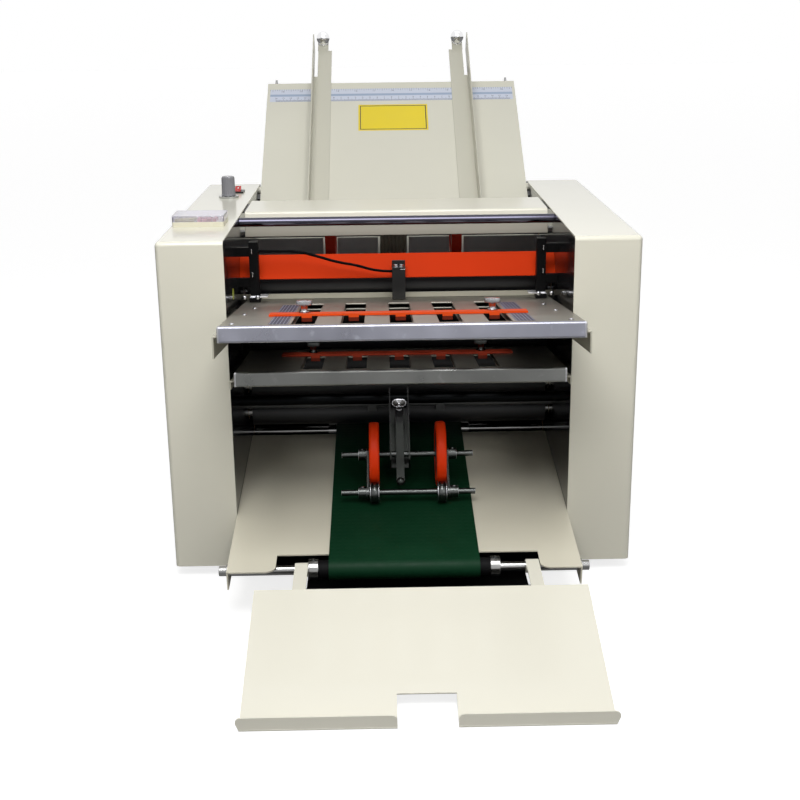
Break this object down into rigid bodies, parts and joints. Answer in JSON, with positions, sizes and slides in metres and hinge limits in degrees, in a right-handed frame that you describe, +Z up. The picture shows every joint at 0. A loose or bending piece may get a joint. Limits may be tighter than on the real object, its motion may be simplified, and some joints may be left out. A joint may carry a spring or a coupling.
{
  "type": "paper folding machine",
  "caption": "Desktop friction-feed paper folder with sloping feed tray, buckle plates, fold rollers and belt delivery",
  "frame": {"origin": "on the floor under the middle of the machine's outline, seen from above", "axes": "+X to the operator's right when facing the delivery side, +Y to the rear toward the feed tray, +Z up"},
  "size_m": [0.486, 0.9746, 0.5495],
  "materials": {
    "cream_paint": "smooth semi-gloss cream enamel",
    "orange_paint": "smooth orange-red enamel",
    "black_paint": "satin black enamel",
    "plate_metal": "plated sheet with fine scuffs",
    "bar_metal": "grey finished aluminium",
    "bright_steel": "ground bright steel",
    "zinc_sheet": "dull plated sheet",
    "chrome": "polished chrome plate",
    "aluminium": "turned aluminium",
    "roller_rubber": "fine ground near-black rubber",
    "orange_rubber": "matte orange rubber",
    "green_belt": "woven dark green belt",
    "black_rubber": "matte black rubber",
    "black_plastic": "fine textured black plastic",
    "grey_plastic": "moulded mid grey plastic",
    "red_plastic": "translucent red plastic",
    "clear_plastic": "clear moulded plastic over a white face"
  },
  "bodies": {
    "frame": {"left_side_frame": "black_paint", "right_side_frame": "black_paint", "left_cover": "cream_paint", "right_cover": "cream_paint", "base_pan": "black_paint", "rubber_feet": "black_rubber", "cross_members": "bright_steel", "front_tie_rod": "chrome", "bridge_cover": "cream_paint", "paper_guide_plate": "orange_paint", "paper_sensor": "black_plastic", "sensor_lead": "black_rubber", "infeed_guides": "zinc_sheet", "feed_tray": "cream_paint", "guide_rail": "bright_steel", "conveyor_table": "cream_paint", "conveyor_belt": "green_belt", "conveyor_shaft": "bright_steel", "plate_rails": "cream_paint", "end_posts": "black_plastic", "counter_box": "clear_plastic", "electrical_fittings": "black_plastic", "drive_motor": "black_paint", "drive_belts": "black_rubber", "roller_bushes": "bright_steel", "rear_fold_plates": "zinc_sheet"},
    "motor_rotor": {"motor_pulley": "aluminium"},
    "left_guide": {"left_paper_guide": "cream_paint"},
    "left_guide_knob": {"left_guide_knob": "chrome"},
    "right_guide": {"right_paper_guide": "cream_paint"},
    "right_guide_knob": {"right_guide_knob": "chrome"},
    "feed_rotor": {"feed_shaft": "bright_steel", "feed_wheels": "orange_rubber"},
    "upper_plate": {"upper_fold_plate": "plate_metal", "upper_plate_bar": "bar_metal"},
    "upper_stop": {"upper_stop_bar": "orange_paint"},
    "upper_left_stop_knob": {"upper_left_stop_knob": "chrome"},
    "upper_right_stop_knob": {"upper_right_stop_knob": "chrome"},
    "lower_plate": {"lower_fold_plate": "plate_metal", "lower_plate_bar": "bar_metal"},
    "lower_stop": {"lower_stop_bar": "orange_paint"},
    "lower_left_stop_knob": {"lower_left_stop_knob": "chrome"},
    "lower_right_stop_knob": {"lower_right_stop_knob": "chrome"},
    "front_roller": {"front_roller": "aluminium"},
    "rear_roller": {"rear_roller": "aluminium"},
    "press_arm": {"press_arm": "bright_steel"},
    "press_screw": {"press_screw": "chrome"},
    "press_wheel_set": {"press_shaft": "bright_steel", "press_wheels": "orange_rubber"},
    "trailing_arms": {"trailing_arms": "bright_steel"},
    "trailing_wheels": {"trailing_wheels": "bright_steel"},
    "delivery_tray": {"delivery_tray": "cream_paint"},
    "speed_knob": {"speed_knob": "grey_plastic"},
    "power_rocker": {"power_rocker": "red_plastic"},
    "fold_roller_1": {"fold_roller_1": "roller_rubber"},
    "fold_roller_2": {"fold_roller_2": "roller_rubber"},
    "fold_roller_3": {"fold_roller_3": "roller_rubber"},
    "fold_roller_4": {"fold_roller_4": "roller_rubber"},
    "fold_roller_5": {"fold_roller_5": "roller_rubber"},
    "fold_roller_6": {"fold_roller_6": "roller_rubber"}
  },
  "joints": [
    {"name": "roller_1_spin", "type": "hinge", "parent": "frame", "child": "fold_roller_1", "pos_m": [0, -0.0056, 0.2798], "axis": [-1, 0, 0], "continuous": true},
    {"name": "roller_2_spin", "type": "hinge", "parent": "frame", "child": "fold_roller_2", "pos_m": [0, -0.0116, 0.2501], "axis": [-1, 0, 0], "continuous": true},
    {"name": "roller_3_spin", "type": "hinge", "parent": "frame", "child": "fold_roller_3", "pos_m": [0, -0.0056, 0.2204], "axis": [-1, 0, 0], "continuous": true},
    {"name": "roller_4_spin", "type": "hinge", "parent": "frame", "child": "fold_roller_4", "pos_m": [0, -0.0116, 0.1907], "axis": [-1, 0, 0], "continuous": true},
    {"name": "roller_5_spin", "type": "hinge", "parent": "frame", "child": "fold_roller_5", "pos_m": [0, -0.0056, 0.161], "axis": [-1, 0, 0], "continuous": true},
    {"name": "roller_6_spin", "type": "hinge", "parent": "frame", "child": "fold_roller_6", "pos_m": [0, -0.0116, 0.1313], "axis": [-1, 0, 0], "continuous": true},
    {"name": "feed_spin", "type": "hinge", "parent": "frame", "child": "feed_rotor", "pos_m": [0, 0.11321, 0.31922], "axis": [-1, 0, 0], "continuous": true},
    {"name": "motor_spin", "type": "hinge", "parent": "frame", "child": "motor_rotor", "pos_m": [0, 0.1514, 0.082], "axis": [-1, 0, 0], "continuous": true},
    {"name": "rear_roller_spin", "type": "hinge", "parent": "frame", "child": "rear_roller", "pos_m": [0, 0.03657, 0.09065], "axis": [-1, 0, 0], "continuous": true},
    {"name": "front_roller_spin", "type": "hinge", "parent": "frame", "child": "front_roller", "pos_m": [0, -0.27107, 0.04861], "axis": [-1, 0, 0], "continuous": true},
    {"name": "left_guide_slide", "type": "slide", "parent": "frame", "child": "left_guide", "axis": [1, 0, 0], "range_m": [-0.05, 0.062]},
    {"name": "right_guide_slide", "type": "slide", "parent": "frame", "child": "right_guide", "axis": [-1, 0, 0], "range_m": [-0.05, 0.062]},
    {"name": "left_guide_knob_turn", "type": "hinge", "parent": "left_guide", "child": "left_guide_knob", "pos_m": [-0.0965, 0.47239, 0.53811], "axis": [0, -0.5664, 0.8241], "range_deg": [-180, 180]},
    {"name": "right_guide_knob_turn", "type": "hinge", "parent": "right_guide", "child": "right_guide_knob", "pos_m": [0.0965, 0.47239, 0.53811], "axis": [0, -0.5664, 0.8241], "range_deg": [-180, 180]},
    {"name": "upper_plate_slide", "type": "slide", "parent": "frame", "child": "upper_plate", "axis": [0, -0.9914, 0.1305], "range_m": [0, 0.12]},
    {"name": "upper_stop_slide", "type": "slide", "parent": "upper_plate", "child": "upper_stop", "axis": [0, -0.9914, 0.1305], "range_m": [-0.108, 0.064]},
    {"name": "upper_left_knob_turn", "type": "hinge", "parent": "upper_stop", "child": "upper_left_stop_knob", "pos_m": [-0.095, -0.20136, 0.29831], "axis": [0, 0.1305, 0.9914], "range_deg": [-180, 180]},
    {"name": "upper_right_knob_turn", "type": "hinge", "parent": "upper_stop", "child": "upper_right_stop_knob", "pos_m": [0.091, -0.20136, 0.29831], "axis": [0, 0.1305, 0.9914], "range_deg": [-180, 180]},
    {"name": "lower_plate_slide", "type": "slide", "parent": "frame", "child": "lower_plate", "axis": [0, -0.9925, 0.1219], "range_m": [0, 0.1]},
    {"name": "lower_stop_slide", "type": "slide", "parent": "lower_plate", "child": "lower_stop", "axis": [0, -0.9925, 0.1219], "range_m": [-0.015, 0.086]},
    {"name": "lower_left_knob_turn", "type": "hinge", "parent": "lower_stop", "child": "lower_left_stop_knob", "pos_m": [-0.095, -0.06537, 0.22063], "axis": [0, 0.1219, 0.9925], "range_deg": [-180, 180]},
    {"name": "lower_right_knob_turn", "type": "hinge", "parent": "lower_stop", "child": "lower_right_stop_knob", "pos_m": [0.091, -0.06537, 0.22063], "axis": [0, 0.1219, 0.9925], "range_deg": [-180, 180]},
    {"name": "press_arm_lift", "type": "hinge", "parent": "frame", "child": "press_arm", "pos_m": [-0.001, -0.0666, 0.162], "axis": [-1, 0, 0], "range_deg": [0, 20]},
    {"name": "press_wheel_spin", "type": "hinge", "parent": "press_arm", "child": "press_wheel_set", "pos_m": [0.007, -0.1226, 0.11563], "axis": [-1, 0, 0], "continuous": true},
    {"name": "trailing_arm_swing", "type": "hinge", "parent": "press_arm", "child": "trailing_arms", "pos_m": [0.007, -0.1226, 0.11563], "axis": [-1, 0, 0], "range_deg": [0, 30]},
    {"name": "trailing_wheel_spin", "type": "hinge", "parent": "trailing_arms", "child": "trailing_wheels", "pos_m": [0.007, -0.1614, 0.08661], "axis": [-1, 0, 0], "continuous": true},
    {"name": "press_screw_turn", "type": "hinge", "parent": "press_arm", "child": "press_screw", "pos_m": [-0.001, -0.0902, 0.15804], "axis": [0, -0.6378, 0.7702], "range_deg": [-180, 180]},
    {"name": "delivery_tray_lift", "type": "hinge", "parent": "frame", "child": "delivery_tray", "pos_m": [0, -0.27107, 0.04861], "axis": [-1, 0, 0], "range_deg": [0, 75]},
    {"name": "speed_knob_turn", "type": "hinge", "parent": "frame", "child": "speed_knob", "pos_m": [-0.2025, 0.1264, 0.374], "axis": [0, 0, 1], "range_deg": [-135, 135]},
    {"name": "power_rocker_tilt", "type": "hinge", "parent": "frame", "child": "power_rocker", "pos_m": [-0.196, 0.1724, 0.3615], "axis": [1, 0, 0], "range_deg": [-16, 0]}
  ],
  "couplings": [
    {"joint": "roller_2_spin", "follows": "roller_1_spin", "ratio": -1},
    {"joint": "roller_3_spin", "follows": "roller_1_spin", "ratio": 1},
    {"joint": "roller_4_spin", "follows": "roller_1_spin", "ratio": -1},
    {"joint": "roller_5_spin", "follows": "roller_1_spin", "ratio": 1},
    {"joint": "roller_6_spin", "follows": "roller_1_spin", "ratio": -1},
    {"joint": "feed_spin", "follows": "roller_1_spin", "ratio": 1},
    {"joint": "motor_spin", "follows": "roller_1_spin", "ratio": -1.6},
    {"joint": "rear_roller_spin", "follows": "roller_1_spin", "ratio": -1},
    {"joint": "front_roller_spin", "follows": "roller_1_spin", "ratio": -1}
  ]
}
